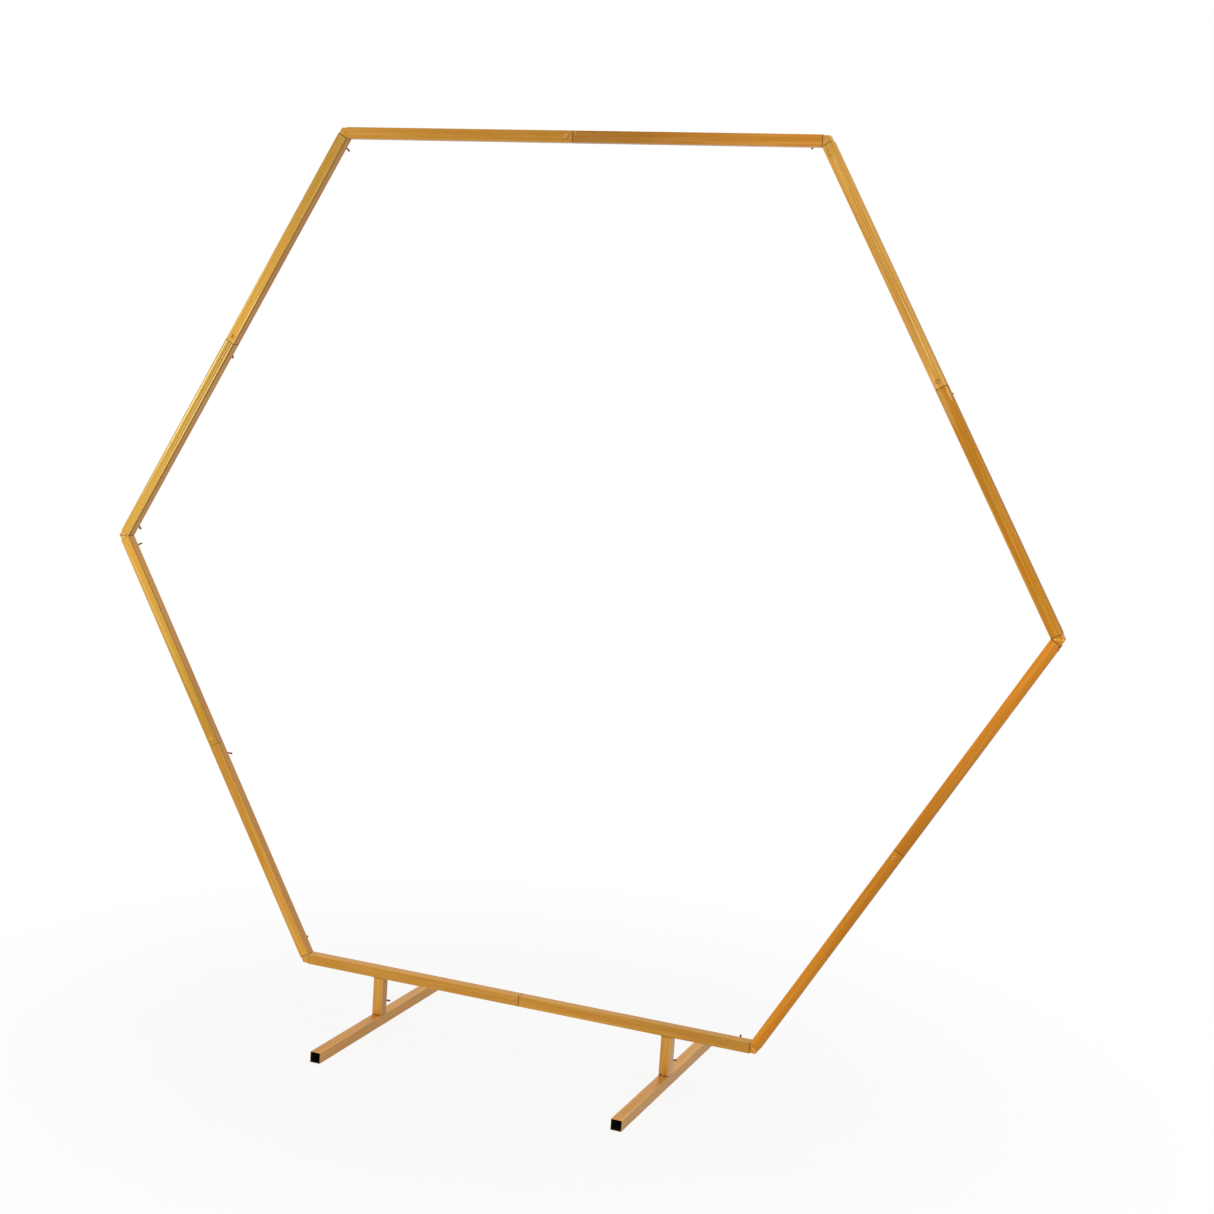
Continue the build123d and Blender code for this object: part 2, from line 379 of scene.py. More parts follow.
# marks on a piece's front face, painted highlight lines and painted shade lines among them: kind, how strong,
# place along the piece and outward, and size along, in depth and outward
paintMarks = {
    "top_tube_right": [("chip", 0.9, (0.0055, 0.0098), (0.0022, 0.002, 0.0008))],
    "upper_right_tube_high": [
        ("worn", 0.35, (-0.535, -0.002), (0.018, 0.003, 0.006)),
        ("dark", 0.6, (-0.5275, -0.0065), (0.0035, 0.003, 0.0009)),
        ("worn", 0.7, (-0.22, -0.004), (0.16, 0.003, 0.0009)),
        ("worn", 0.5, (-0.35, 0.0015), (0.24, 0.004, 0.001)),
        ("worn", 0.5, (-0.2, 0.007), (0.3, 0.004, 0.001)),
    ],
    "upper_right_tube_low": [
        ("shine", 0.8, (0.015, 0.0098), (0.018, 0.003, 0.0012)),
        ("pale", 0.45, (0.03, -0.006), (0.05, 0.003, 0.007)),
        ("worn", 0.15, (0.21, 0.0), (0.12, 0.003, 0.006)),
    ],
    "lower_right_tube_high": [("dark", 0.8, (-0.548, 0.011), (0.0026, 0.003, 0.0022))],
    "lower_left_tube_low": [("shine", 0.5, (-0.43, 0.003), (0.12, 0.004, 0.0014))],
    "lower_left_tube_high": [("shine", 0.4, (0.35, 0.004), (0.2, 0.004, 0.0014))],
    "upper_left_tube_low": [
        ("worn", 0.50, (-0.17, 0.0112), (0.26, 0.004, 0.0011)),
        ("shine", 0.95, (-0.17, 0.008), (0.26, 0.004, 0.0018)),
        ("worn", 0.60, (-0.15, 0.0004), (0.24, 0.004, 0.0017)),
        ("shine", 0.35, (-0.17, -0.0024), (0.24, 0.004, 0.0011)),
        ("worn", 0.60, (-0.15, -0.0053), (0.24, 0.004, 0.0018)),
        ("shine", 0.55, (-0.17, -0.009), (0.26, 0.004, 0.0014)),
    ],
    "upper_left_tube_high": [
        ("shine", 0.6, (0.07, -0.0095), (0.07, 0.003, 0.0012)),
        ("worn", 0.4, (0.15, 0.002), (0.15, 0.003, 0.001)),
        ("shine", 0.5, (0.09, 0.01), (0.16, 0.004, 0.0012)),
    ],
    # painted highlights and painted shade of small weld tacks where the leg stands on its foot
    "right_leg": [
        ("dark", 0.85, (-0.0438, 0.007), (0.0014, 0.003, 0.004)),
        ("dark", 0.80, (-0.0441, -0.0035), (0.0012, 0.003, 0.0045)),
        ("shine", 0.70, (-0.0428, 0.0018), (0.0014, 0.003, 0.0016)),
        ("shine", 0.70, (-0.043, -0.0075), (0.0014, 0.003, 0.0018)),
    ],
    "left_leg": [("dark", 0.50, (-0.0443, 0.001), (0.0009, 0.003, 0.009))],
    "top_left_elbow": [
        ("dark", 0.7, (0.001, 0.0068), (0.0013, 0.002, 0.0011)),
        ("dark", 0.7, (0.0016, 0.0006), (0.0009, 0.002, 0.0022)),
        ("dark", 0.6, (-0.0004, -0.0024), (0.0018, 0.002, 0.0009)),
    ],
}
markColours = {
    "chip": (0.80, 0.74, 0.62),
    "dark": (0.10, 0.055, 0.03),
    "pale": (0.72, 0.42, 0.12),
    # painted highlight
    "shine": (0.90, 0.66, 0.24),
    # painted shade: darker bands along a tube beside the painted highlight lines
    "worn": (0.30, 0.15, 0.02),
}
markEdge = {
    "raggedScale": (2.5, 2.5, 2.5),
    "raggedSeed": 3,
    "ragged": 0.9,
    "band": (1.0, 1.7),  # in sizes of the mark, from full strength to none
}
# painted highlight and shade around each plug weld: a pale arc where it faces up and to the left, towards the
# light, and a dark arc on the other side
plugRing = {
    "radius": 0.0043,
    "width": 0.0013,
    "lit": (-0.7, 0.0, 0.7),
    "pale": (0.86, 0.60, 0.26),
    "dark": (0.14, 0.06, 0.012),
    "highlightBand": (-0.0010, 0.0020),
    "shadeBand": 0.0030,
}
# how strong a plug weld's painted highlight arc, painted shade arc and painted shade in its sunken middle
# are, and how far the shade arc reaches
plugLooks = {
    "top": (0.65, 0.70, 0.20, 0.0005),
    "upper_right": (0.0, 0.95, 0.95, 0.0060),
    "lower_right": (0.60, 0.50, 0.30, 0.0005),
    "bottom": (0.35, 0.50, 0.30, 0.0010),
    "lower_left": (0.75, 0.50, 0.25, 0.0005),
    "upper_left": (0.0, 0.95, 0.95, 0.0055),
}
plugMiddle = (0.0034, 0.002, 0.0034)
# painted shade where the ends of the tubes meet the sleeves and the elbows, and dark lines at the tubes' cut
# ends that are partly dark paint at the cut and partly painted shade
jointLines = {
    "colour": (0.09, 0.04, 0.012),
    "sleeveBand": (0.0010, 0.0014),  # from the middle of the seam
    "tubeBand": (0.0009, 0.00045),  # from the end of the tube
    "elbowBand": (0.0011, 0.0007),  # from the end of the tube, on the elbow inside it
    "elbowEnd": axisApothem * math.tan(mitreTurn) - tubeEnd,
    "gaps": {"top": 0.85, "upper_right": 1.0, "lower_right": 0.65, "bottom": 0.9, "lower_left": 0.6,
             "upper_left": 1.0},
}


def ownCoordinates(tree, place):
    # Object coordinates taken into the frame of one tube, whose axis is X
    back = place.inverted()
    coordinates = tree.nodes.new("ShaderNodeTexCoord")
    mapping = tree.nodes.new("ShaderNodeMapping")
    mapping.vector_type = "POINT"
    setInputs(mapping, {"Rotation": back.to_euler(), "Location": back.translation})
    tree.links.new(coordinates.outputs["Object"], mapping.inputs["Vector"])
    return mapping.outputs["Vector"]


def separateAxes(tree, vector):
    parts = tree.nodes.new("ShaderNodeSeparateXYZ")
    tree.links.new(vector, parts.inputs[0])
    return parts.outputs["X"], parts.outputs["Y"], parts.outputs["Z"]


def vectorNode(tree, operation, first, second=None):
    node = tree.nodes.new("ShaderNodeVectorMath")
    node.operation = operation
    tree.links.new(first, node.inputs[0])
    if second is not None:
        node.inputs[1].default_value = second
    return node.outputs["Value" if operation in ("LENGTH", "DOT_PRODUCT") else "Vector"]


def noiseNode(tree, vector, scale, seed=0, detail=3.0, roughness=0.55):
    # noise stretched by the scale, and shifted by the seed so that no two pieces look alike
    scaled = vectorNode(tree, "MULTIPLY", vector, scale)
    shifted = vectorNode(tree, "ADD", scaled, (7.3 * seed, 3.1 * seed, 0.0))
    noise = tree.nodes.new("ShaderNodeTexNoise")
    setInputs(noise, {"Scale": 1.0, "Detail": detail, "Roughness": roughness})
    tree.links.new(shifted, noise.inputs["Vector"])
    return noise.outputs["Fac"]


def mixColour(tree, share, first, second):
    node = tree.nodes.new("ShaderNodeMix")
    node.data_type = "RGBA"
    tree.links.new(share, node.inputs["Factor"])
    for socket, value in ((node.inputs["A"], first), (node.inputs["B"], second)):
        if isinstance(value, tuple):
            socket.default_value = (*value[:3], 1.0)
        else:
            tree.links.new(value, socket)
    return node.outputs["Result"]


def hueNode(tree, colour, hue, saturation, value):
    shade = tree.nodes.new("ShaderNodeHueSaturation")
    setInputs(shade, {"Hue": hue, "Saturation": saturation})
    if isinstance(value, (int, float)):
        shade.inputs["Value"].default_value = value
    else:
        tree.links.new(value, shade.inputs["Value"])
    tree.links.new(colour, shade.inputs["Color"])
    return shade.outputs["Color"]


def paintTone(tree, own, look):
    # the two golds mixed by streaks, brush lines, patches and grain, with painted highlight lines and painted
    # shade lines over them. It gives the colour, the streaks alone and the height of the brushed surface.
    seed = look["seed"]
    streaks = noiseNode(tree, own, goldPaint["streakScale"], seed)
    brush = noiseNode(tree, own, goldPaint["brushScale"], seed, detail=2.0)
    patches = noiseNode(tree, own, goldPaint["patchScale"], seed, detail=2.0)
    grain = noiseNode(tree, own, goldPaint["grainScale"], seed, detail=1.0)
    height = times(tree, streaks, goldPaint["streakShare"])
    height = mathNode(tree, "MULTIPLY_ADD", brush, goldPaint["brushShare"], height)
    tone = mathNode(tree, "MULTIPLY_ADD", grain, goldPaint["grainShare"], height)
    tone = mathNode(tree, "MULTIPLY_ADD", patches, goldPaint["patchShare"], tone)
    share = rampNode(tree, tone, *goldPaint["toneRange"])
    colour = mixColour(tree, share, goldPaint["colour"], goldPaint["paleColour"])
    # painted highlight lines and painted shade lines along the streaks
    if look["shine"]:
        bright = rampNode(tree, streaks, *goldPaint["highlightLines"], 0.0, look["shine"])
        dull = rampNode(tree, streaks, *goldPaint["shadeLines"], goldPaint["shadeLineShare"] * look["shine"], 0.0)
        colour = mixColour(tree, bright, colour, goldPaint["highlightLineColour"])
        colour = mixColour(tree, dull, colour, goldPaint["shadeLineColour"])
    return colour, streaks, height


def addEdges(tree, colour, streaks, depth, outward, strength):
    # painted highlight along the four rounded edges of a tube, uneven along the streaks
    inset = mathNode(tree, "MINIMUM", eitherWay(tree, outward), eitherWay(tree, depth))
    worn = rampNode(tree, streaks, *goldPaint["streakRange"], *goldPaint["edgeHighlightRange"])
    worn = times(tree, worn, goldPaint["edgeShare"] * strength)
    edge = times(tree, rampNode(tree, inset, *goldPaint["edgeBand"]), worn)
    return mixColour(tree, edge, colour, goldPaint["edgeHighlightColour"])


def shadeFaces(tree, colour, axes, look, ends):
    # painted light and shade: the look's value and hue, along the piece, across it and on its outer and inner
    # face
    along, depth, outward = axes
    value = look["value"]
    if isinstance(value, tuple):
        value = rampNode(tree, along, *ends, *value)
    if look["across"]:
        outerEdge, innerEdge = look["across"]
        slope = rampNode(tree, outward, look["acrossFrom"], tubeHalf, innerEdge, outerEdge)
        value = times(tree, slope, value)
    if look["outer"]:
        onOuter = rampNode(tree, outward, *goldPaint["outerFace"], 1.0, look["outer"])
        value = times(tree, onOuter, value)
    shaded = hueNode(tree, colour, look["hue"], look["saturation"], value)
    if look["inner"]:
        innerValue = rampNode(tree, depth, *goldPaint["innerStrip"], *look["inner"])
        innerColour = hueNode(tree, colour, look["innerHue"], look["innerSaturation"], innerValue)
        onInner = rampNode(tree, outward, *goldPaint["innerFace"], 1.0, 0.0)
        shaded = mixColour(tree, onInner, shaded, innerColour)
    return shaded


def addMark(tree, own, colour, front, kind, strength, place, size):
    # a spot or a long streak of another colour, with a ragged outline
    fromMark = vectorNode(tree, "SUBTRACT", own, (place[0], -front, place[1]))
    offset = vectorNode(tree, "DIVIDE", fromMark, size)
    ragged = noiseNode(tree, offset, markEdge["raggedScale"], markEdge["raggedSeed"], detail=2.0)
    edge = mathNode(tree, "MULTIPLY_ADD", ragged, markEdge["ragged"], vectorNode(tree, "LENGTH", offset))
    return mixColour(tree, rampNode(tree, edge, *markEdge["band"], strength, 0.0), colour, markColours[kind])


def addRing(tree, own, colour, x, lit, paleShare, darkShare, darkReach):
    # painted highlight and shade around a plug weld on the front face: a pale arc towards lit and a dark one
    # away from it
    offset = vectorNode(tree, "MULTIPLY", vectorNode(tree, "SUBTRACT", own, (x, 0.0, 0.0)), (1.0, 0.0, 1.0))
    fromRing = mathNode(tree, "SUBTRACT", vectorNode(tree, "LENGTH", offset), plugRing["radius"])
    width = plugRing["width"]
    ring = rampNode(tree, eitherWay(tree, fromRing), width / 2, width, 1.0, 0.0)
    depth = separateAxes(tree, own)[1]
    ring = times(tree, ring, rampNode(tree, depth, *goldPaint["frontFace"], 1.0, 0.0))
    facing = vectorNode(tree, "DOT_PRODUCT", offset, tuple(lit))
    pale = rampNode(tree, facing, *plugRing["highlightBand"], 0.0, paleShare)
    dark = rampNode(tree, facing, darkReach - plugRing["shadeBand"], darkReach, darkShare, 0.0)
    colour = mixColour(tree, times(tree, ring, pale), colour, plugRing["pale"])
    return mixColour(tree, times(tree, ring, dark), colour, plugRing["dark"])


def addSleeveGap(tree, colour, axes, strength):
    # painted shade: a sleeve is painted dark in the gap of its seam
    gap = rampNode(tree, eitherWay(tree, axes[0]), *jointLines["sleeveBand"], strength, 0.0)
    return mixColour(tree, gap, colour, jointLines["colour"])


def addElbowEnds(tree, colour, axes):
    # painted shade: an elbow is painted dark where the tubes' ends meet it, as far along each arm from where
    # the arms' axes meet
    along, _, outward = axes
    side = times(tree, eitherWay(tree, along), math.cos(mitreTurn))
    reach = mathNode(tree, "MULTIPLY_ADD", outward, -math.sin(mitreTurn), side)
    low, high = (jointLines["elbowEnd"] - inset for inset in jointLines["elbowBand"])
    return mixColour(tree, rampNode(tree, reach, low, high), colour, jointLines["colour"])


def addTubeEnds(tree, colour, axes, look, ends):
    # dark lines at a tube's cut ends, partly dark paint at the cut and partly painted shade of the joint, and
    # a dark bore. It gives the colour, and 0 in the bore and 1 outside.
    along, depth, outward = axes
    half = (ends[1] - ends[0]) / 2
    fromMiddle = eitherWay(tree, mathNode(tree, "SUBTRACT", along, sum(ends) / 2))
    low, high = (half - inset for inset in jointLines["tubeBand"])
    cut = rampNode(tree, fromMiddle, low, high, 0.0, look["cut"])
    colour = mixColour(tree, cut, colour, jointLines["colour"])
    reach = mathNode(tree, "MAXIMUM", eitherWay(tree, outward), eitherWay(tree, depth))
    bore = rampNode(tree, reach, *goldPaint["boreEdge"], 1.0, 0.0)
    if look["openEnds"]:
        low, high = (half - inset for inset in goldPaint["openEnd"])
        bore = times(tree, bore, rampNode(tree, fromMiddle, low, high, 1.0, 0.0))
    return mixColour(tree, bore, colour, goldPaint["boreColour"]), mathNode(tree, "SUBTRACT", 1.0, bore)


def scaleSockets(tree, surface, sockets, share):
    # the plain numbers of these sockets, times a share that changes over the surface
    for socket in sockets:
        scaled = times(tree, share, surface.inputs[socket].default_value)
        tree.links.new(scaled, surface.inputs[socket])


def makeGold(name, place, look=None, kind="plain", ends=None, ring=None, marks=()):
    # gold paint in the frame of one piece, with painted light and shade on its faces. A tube gets a painted
    # highlight along its edges, dark lines at its ends and a dark bore, and on its back the paint without the
    # painted light and shade. A sleeve and an elbow get painted shade where a tube's end meets them.
    look = {**plainLook, **(look or {})}
    material = bpy.data.materials.new(name)
    material.use_nodes = True
    tree = material.node_tree
    surface = tree.nodes["Principled BSDF"]
    setInputs(surface, goldPaint["surface"])
    own = ownCoordinates(tree, place)
    axes = separateAxes(tree, own)
    along, depth, outward = axes
    paintColour, streaks, height = paintTone(tree, own, look)
    if kind == "tube":
        paintColour = addEdges(tree, paintColour, streaks, depth, outward, look["edges"])
    colour = shadeFaces(tree, paintColour, axes, look, ends)
    # a tube's back face keeps the paint without its painted light and shade
    if kind == "tube":
        colour = mixColour(tree, rampNode(tree, depth, *goldPaint["outerFace"]), colour, paintColour)
    front = elbowHalf if kind == "elbow" else tubeHalf
    for mark in [*paintMarks.get(name, []), *marks]:
        colour = addMark(tree, own, colour, front, *mark)
    if ring:
        colour = addRing(tree, own, colour, *ring)
    if kind == "sleeve":
        colour = addSleeveGap(tree, colour, axes, look["gap"])
    if kind == "elbow":
        colour = addElbowEnds(tree, colour, axes)
    gloss = 1.0
    if look["outer"]:
        gloss = rampNode(tree, outward, *goldPaint["outerFace"], 1.0, goldPaint["outerGloss"])
        scaleSockets(tree, surface, ["Specular IOR Level"], gloss)
    if kind == "tube":
        colour, outside = addTubeEnds(tree, colour, axes, look, ends)
        scaleSockets(tree, surface, ["Metallic", "Coat Weight"], times(tree, outside, gloss))
    tree.links.new(colour, surface.inputs["Base Color"])
    rough = rampNode(tree, streaks, *goldPaint["streakRange"], *goldPaint["roughness"])
    tree.links.new(rough, surface.inputs["Roughness"])
    bump = tree.nodes.new("ShaderNodeBump")
    setInputs(bump, {"Strength": 1.0, "Distance": goldPaint["streakBump"]})
    tree.links.new(height, bump.inputs["Height"])
    tree.links.new(bump.outputs["Normal"], surface.inputs["Normal"])
    return material


def paint(name, place, look, **details):
    slots = nodes[name].data.materials
    slots.clear()
    slots.append(makeGold(name, place, look, **details))


for index, (side, first, second, holder) in enumerate(sides):
    axis = sidePlace(index) @ moved(0, 0, axisApothem)
    plugX = plugAlong(index)
    paleShare, darkShare, middleShare, darkReach = plugLooks[side]
    lit = sidePlace(index).to_3x3().inverted() @ Vector(plugRing["lit"])
    for half, ends in ((first, (-tubeEnd, -seamEdge)), (second, (seamEdge, tubeEnd))):
        tube = f"{side}_tube_{half}"
        ring = (plugX, lit, paleShare, darkShare, darkReach) if half == holder else None
        paint(tube, axis, tubeLooks[tube], kind="tube", ends=ends, ring=ring)
    # painted shade in the sunken middle of the plug weld, on the sleeve under it
    paintedShadeMiddle = ("dark", middleShare, (plugX, 0.0), plugMiddle)
    paint(f"{side}_sleeve", axis, {"gap": jointLines["gaps"][side]}, kind="sleeve", marks=[paintedShadeMiddle])
for index, corner in enumerate(corners):
    paint(f"{corner}_elbow", cornerPlace(index), elbowLooks[corner], kind="elbow")
legHalf = (legTop - legBottom) / 2
for side, x in legX.items():
    upright = moved(x, 0, (legBottom + legTop) / 2) @ turned(-90, "Y")
    paint(f"{side}_leg", upright, tubeLooks[f"{side}_leg"], kind="tube", ends=(-legHalf, legHalf))
    # painted shade: the spigots are painted dark, as they show only in the shaded gap of the leg's joint
    paint(f"{side}_spigot", upright, {"value": 0.3})
    deepwards = moved(x, 0, tubeHalf) @ turned(90, "Z")
    paint(f"{side}_foot", deepwards, tubeLooks[f"{side}_foot"], kind="tube", ends=(-footHalf, footHalf))
print("tubes painted")

# shared modelling steps


def activate(piece):
    if bpy.context.mode != "OBJECT":
        bpy.ops.object.mode_set(mode="OBJECT")
    deselectAll()
    piece.select_set(True)
    bpy.context.view_layer.objects.active = piece


def pickNothing(piece, kind):
    # every face or edge of a piece deselected, in object mode
    activate(piece)
    bpy.ops.object.mode_set(mode="EDIT")
    bpy.ops.mesh.select_mode(type=kind)
    bpy.ops.mesh.select_all(action="DESELECT")
    bpy.ops.object.mode_set(mode="OBJECT")


def pickFaces(piece, test):
    # edit mode, with only the faces selected whose centre and normal pass the test
    pickNothing(piece, "FACE")
    for face in piece.data.polygons:
        face.select = test(face.center, face.normal)
    bpy.ops.object.mode_set(mode="EDIT")


def pickEdges(piece, test):
    # edit mode, with only the edges selected whose two ends pass the test
    pickNothing(piece, "EDGE")
    points = piece.data.vertices
    for edge in piece.data.edges:
        edge.select = test(points[edge.vertices[0]].co, points[edge.vertices[1]].co)
    bpy.ops.object.mode_set(mode="EDIT")


def leaveEdit():
    bpy.ops.object.mode_set(mode="OBJECT")


def applyModifier(piece, kind, **settings):
    activate(piece)
    modifier = piece.modifiers.new(kind.lower(), kind)
    for key, value in settings.items():
        setattr(modifier, key, value)
    bpy.ops.object.modifier_apply(modifier=modifier.name)


def combine(base, other, operation):
    # the other shape joined to the base, or cut out of it, and then taken away
    applyModifier(base, "BOOLEAN", operation=operation, solver="EXACT", object=other)
    bpy.data.objects.remove(other)


def joinPieces(name, pieces):
    deselectAll()
    for piece in pieces:
        piece.select_set(True)
    bpy.context.view_layer.objects.active = pieces[0]
    if len(pieces) > 1:
        bpy.ops.object.join()
    joined = bpy.context.object
    joined.name = name
    joined.data.name = name
    return joined


def copyTo(piece, place):
    # a copy with its own mesh, moved in the mesh itself
    copy = piece.copy()
    copy.data = piece.data.copy()
    scene.collection.objects.link(copy)
    copy.data.transform(place)
    return copy


def finishPiece(name, copies, material, smoothBelow):
    # the copies as one piece of the arch, smooth where its faces meet at less than so many degrees
    piece = joinPieces(name, copies)
    activate(piece)
    bpy.ops.object.shade_smooth_by_angle(angle=math.radians(smoothBelow))
    piece.data.materials.clear()
    piece.data.materials.append(material)
    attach(piece, "root")
    return piece


def camel(nodeName):
    first, *rest = nodeName.split("_")
    return first + "".join(word.capitalize() for word in rest)


# wing screws on the back, and the nuts that they run in, with z = 0 on the tube's back face

wingScrew = {
    "cornerSetback": 0.025,
    "seamSetback": 0.027,
    "legSetback": 0.025,
    "tip": -0.00125,  # the tip bears on the inner tube, under the tube's back face
    "shankRadius": 0.003,
    "shankSides": 24,
    "shankInHub": 0.001,  # how far the shank runs up into the hub
    "threadDepth": 0.00045,
    "threadPitch": 0.001,
    "rowsPerPitch": 5,
    "nutAcross": 0.010,
    "nutHeight": 0.005,
    "nutEdge": 0.0004,
    "boreClearance": 0.0001,
    "hubBase": 0.006,  # one millimetre above the nut
    "hubBaseRadius": 0.0052,
    "hubTopRadius": 0.0042,
    "hubHeight": 0.007,
    "hubSides": 32,
    "hubTopEdge": 0.0009,
    "hubBaseEdge": 0.0004,
    "dishRim": 0.0008,
    "dishDepth": 0.0004,
    # sections of a wing: distance from the axis, sideways, height of its middle, height, thickness, and turn
    # in degrees
    "wingSections": [
        (0.0000, 0.0000, 0.0030, 0.0055, 0.0040, 0),
        (0.0050, 0.0000, 0.0057, 0.0070, 0.0041, 0),
        (0.0084, 0.0003, 0.0077, 0.0084, 0.0042, 16),
        (0.0118, 0.0021, 0.0091, 0.0090, 0.0042, 31),
        (0.0140, 0.0034, 0.0092, 0.0080, 0.0039, 33),
        (0.0151, 0.0041, 0.0092, 0.0052, 0.0033, 33),
    ],
    "wingTipBand": 0.0004,  # how close to the last section a face of the wing's end lies
    # turned from lying along the tube, in degrees: first corner, seam, second corner
    "turns": {
        "top": (25, 10, 100),
        "upper_right": (-20, 35, 10),
        "lower_right": (40, -15, 30),
        "bottom": (45, 5, -30),
        "lower_left": (10, 105, 70),
        "upper_left": (110, -45, 85),
    },
    "legTurns": {"left": 160, "right": 160},
    "smoothBelow": 35,
}
screwLook = {"value": 0.38, "hue": 0.481, "saturation": 1.12, "seed": 20}
screwSurface = {"Coat Weight": 0.0, "Metallic": 0.1, "Specular IOR Level": 0.05}


def makeCylinder(sides, radius, low, high, turn=0.0):
    deselectAll()
    bpy.ops.mesh.primitive_cylinder_add(vertices=sides, radius=radius, depth=high - low,
                                        location=(0, 0, (low + high) / 2), rotation=(0, 0, turn))
    cylinder = bpy.context.object
    bpy.ops.object.transform_apply(location=True, rotation=True)
    return cylinder


def threadedShank():
    w = wingScrew
    top = w["hubBase"] + w["shankInHub"]
    length = top - w["tip"]
    shank = makeCylinder(w["shankSides"], w["shankRadius"], w["tip"], top)
    pickEdges(shank, lambda a, b: abs(a.z - b.z) > length / 2)
    bpy.ops.mesh.subdivide(number_cuts=round(length / w["threadPitch"] * w["rowsPerPitch"]))
    leaveEdit()
    for point in shank.data.vertices:
        turn = math.atan2(point.co.y, point.co.x) / math.tau
        ridge = abs(2 * ((point.co.z / w["threadPitch"] - turn) % 1.0) - 1)
        radius = w["shankRadius"] - w["threadDepth"] * ridge
        angle = turn * math.tau
        point.co.x = radius * math.cos(angle)
        point.co.y = radius * math.sin(angle)
    return shank


def wingHub():
    # tapered, with a rounded top edge and a shallow dish in the top
    w = wingScrew
    top = w["hubBase"] + w["hubHeight"]
    hub = makeCylinder(w["hubSides"], w["hubBaseRadius"], w["hubBase"], top)
    pickFaces(hub, lambda centre, normal: normal.z > 0.9)
    taper = w["hubTopRadius"] / w["hubBaseRadius"]
    bpy.ops.transform.resize(value=(taper, taper, 1), center_override=(0, 0, top))
    bpy.ops.mesh.bevel(offset=w["hubTopEdge"], segments=3)
    pickFaces(hub, lambda centre, normal: normal.z > 0.95)
    bpy.ops.mesh.inset(thickness=w["dishRim"])
    bpy.ops.transform.translate(value=(0, 0, -w["dishDepth"]))
    pickFaces(hub, lambda centre, normal: normal.z < -0.9)
    bpy.ops.mesh.bevel(offset=w["hubBaseEdge"], segments=2)
    leaveEdit()
    return hub


def castWing():
    # one wing: a block from the axis to the second section, drawn out section by section and then rounded
    base = wingScrew["hubBase"]
    sections = wingScrew["wingSections"]
    rootMiddle, rootHeight, rootThickness = sections[0][2:5]
    blockLength = sections[1][0]
    deselectAll()
    bpy.ops.mesh.primitive_cube_add(size=1, location=(blockLength / 2, 0, base + rootMiddle))
    wing = bpy.context.object
    wing.scale = (blockLength, rootThickness, rootHeight)
    bpy.ops.object.transform_apply(location=True, scale=True)
    for last, section in zip(sections[1:], sections[2:]):
        out, side, middle, height, thickness, turn = section
        lastOut, lastSide, lastMiddle, lastHeight, lastThickness, lastTurn = last
        endFrom = lastOut - wingScrew["wingTipBand"]
        pickFaces(wing, lambda centre, normal: centre.x > endFrom and normal.x > 0.5)
        step = (out - lastOut, side - lastSide, middle - lastMiddle)
        bpy.ops.mesh.extrude_region_move(TRANSFORM_OT_translate={"value": step})
        centre = Vector((out, side, base + middle))
        growth = (1, thickness / lastThickness, height / lastHeight)
        bpy.ops.transform.resize(value=growth, center_override=centre)
        leaveEdit()
        around = Matrix.Translation(centre) @ turned(turn - lastTurn, "Z") @ Matrix.Translation(-centre)
        for face in [face for face in wing.data.polygons if face.select]:
            for corner in face.vertices:
                wing.data.vertices[corner].co = around @ wing.data.vertices[corner].co
    applyModifier(wing, "SUBSURF", levels=2, render_levels=2)
    return wing


def hexNut():
    w = wingScrew
    nut = makeCylinder(6, w["nutAcross"] / math.sqrt(3), 0.0, w["nutHeight"], math.radians(30))
    pickFaces(nut, lambda centre, normal: normal.z > 0.9)
    bpy.ops.mesh.bevel(offset=w["nutEdge"], segments=2)
    leaveEdit()
    boreRadius = w["shankRadius"] + w["boreClearance"]
    bore = makeCylinder(w["shankSides"], boreRadius, -w["nutHeight"], 2 * w["nutHeight"])
    combine(nut, bore, "DIFFERENCE")
    return nut


def makeWingScrew():
    screw = wingHub()
    left = castWing()
    right = copyTo(left, turned(180, "Z"))
    for part in (left, right, threadedShank()):
        combine(screw, part, "UNION")
    return joinPieces("wingScrewPattern", [screw, hexNut()])


def backPlace(x, z, turn):
    # a screw's own frame, axis on Z from the tube's back face, set on the back of a tube
    return moved(x, tubeHalf, z) @ turned(-90, "X") @ turned(turn, "Z")


def screwPlaces(index):
    # the three screws of a side: one near each corner, one beside the seam on the half without the sleeve
    name, _, second, holder = sides[index]
    corner = tubeEnd - wingScrew["cornerSetback"]
    seam = seamEdge + wingScrew["seamSetback"]
    if holder == second:
        seam = -seam
    turns = wingScrew["turns"][name]
    alongs = (-corner, seam, corner)
    return [sidePlace(index) @ backPlace(x, axisApothem, turn) for x, turn in zip(alongs, turns)]


def placeScrews(pattern, nodeName, places, material):
    copies = [copyTo(pattern, place) for place in places]
    piece = finishPiece(camel(nodeName), copies, material, wingScrew["smoothBelow"])
    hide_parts(nodeName)


screwGold = makeGold("screwGold", worldPlace, screwLook)
setInputs(screwGold.node_tree.nodes["Principled BSDF"], screwSurface)
screwPattern = makeWingScrew()
for index, side in enumerate(sides):
    placeScrews(screwPattern, f"{side[0]}_wing_screws", screwPlaces(index), screwGold)
legScrewZ = legBottom + wingScrew["legSetback"]
legScrews = [backPlace(x, legScrewZ, wingScrew["legTurns"][side]) for side, x in legX.items()]
placeScrews(screwPattern, "leg_wing_screws", legScrews, screwGold)
bpy.data.objects.remove(screwPattern)
print("wing screws on")

# welds: uneven lumps of metal, painted over

weldLumps = {
    "voxel": 0.0003,
    "flatten": 0.55,
    "smoothing": 3,
    "smoothBelow": 60,
}


def wander(chance, reach):
    return chance.uniform(-reach, reach)


